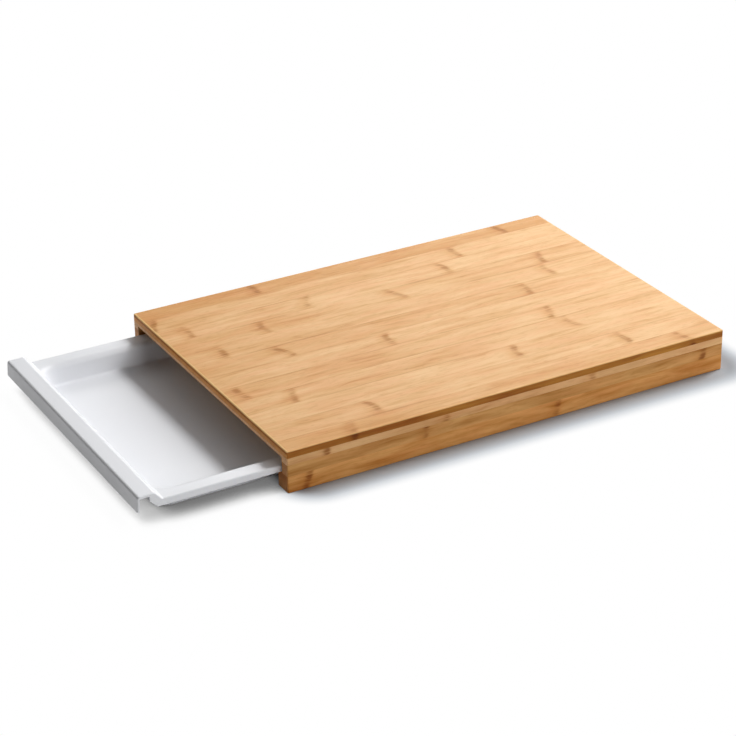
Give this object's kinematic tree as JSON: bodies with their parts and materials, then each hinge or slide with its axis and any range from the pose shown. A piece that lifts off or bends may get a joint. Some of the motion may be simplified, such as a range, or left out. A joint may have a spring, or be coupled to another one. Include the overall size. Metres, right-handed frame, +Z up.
{
  "type": "cutting board with drawer tray",
  "caption": "Rectangular bamboo cutting board glued up from strips, raised on rails, with a white plastic tray that slides out of one end to catch chopped food.",
  "frame": {"origin": "middle of the whole thing on the table, with the drawer open as stored", "axes": "+X runs along the board from the end that the drawer comes out of to the closed end, +Y across it to the far side, +Z up"},
  "size_m": [0.4916, 0.263, 0.0337],
  "materials": {
    "bamboo_top": "oiled, satin",
    "bamboo_core": "sanded",
    "bamboo_rail": "sanded",
    "tray_plastic": "satin moulded"
  },
  "bodies": {
    "board": {"top_strip_01": "bamboo_top", "top_strip_02": "bamboo_top", "top_strip_03": "bamboo_top", "top_strip_04": "bamboo_top", "top_strip_05": "bamboo_top", "top_strip_06": "bamboo_top", "top_strip_07": "bamboo_top", "top_strip_08": "bamboo_top", "top_strip_09": "bamboo_top", "top_strip_10": "bamboo_top", "top_strip_11": "bamboo_top", "top_strip_12": "bamboo_top", "core_strip_01": "bamboo_core", "core_strip_02": "bamboo_core", "core_strip_03": "bamboo_core", "core_strip_04": "bamboo_core", "core_strip_05": "bamboo_core", "core_strip_06": "bamboo_core", "core_strip_07": "bamboo_core", "core_strip_08": "bamboo_core", "core_strip_09": "bamboo_core", "core_strip_10": "bamboo_core", "core_strip_11": "bamboo_core", "core_strip_12": "bamboo_core", "near_rail_upper": "bamboo_rail", "near_rail_lower": "bamboo_rail", "far_rail_upper": "bamboo_rail", "far_rail_lower": "bamboo_rail", "rear_rail_upper": "bamboo_rail", "rear_rail_lower": "bamboo_rail"},
    "drawer": {"drawer_tray": "tray_plastic"}
  },
  "joints": [
    {"name": "drawer_slide", "type": "slide", "parent": "board", "child": "drawer", "axis": [-1, 0, 0], "range_m": [-0.1096, 0.195]}
  ]
}
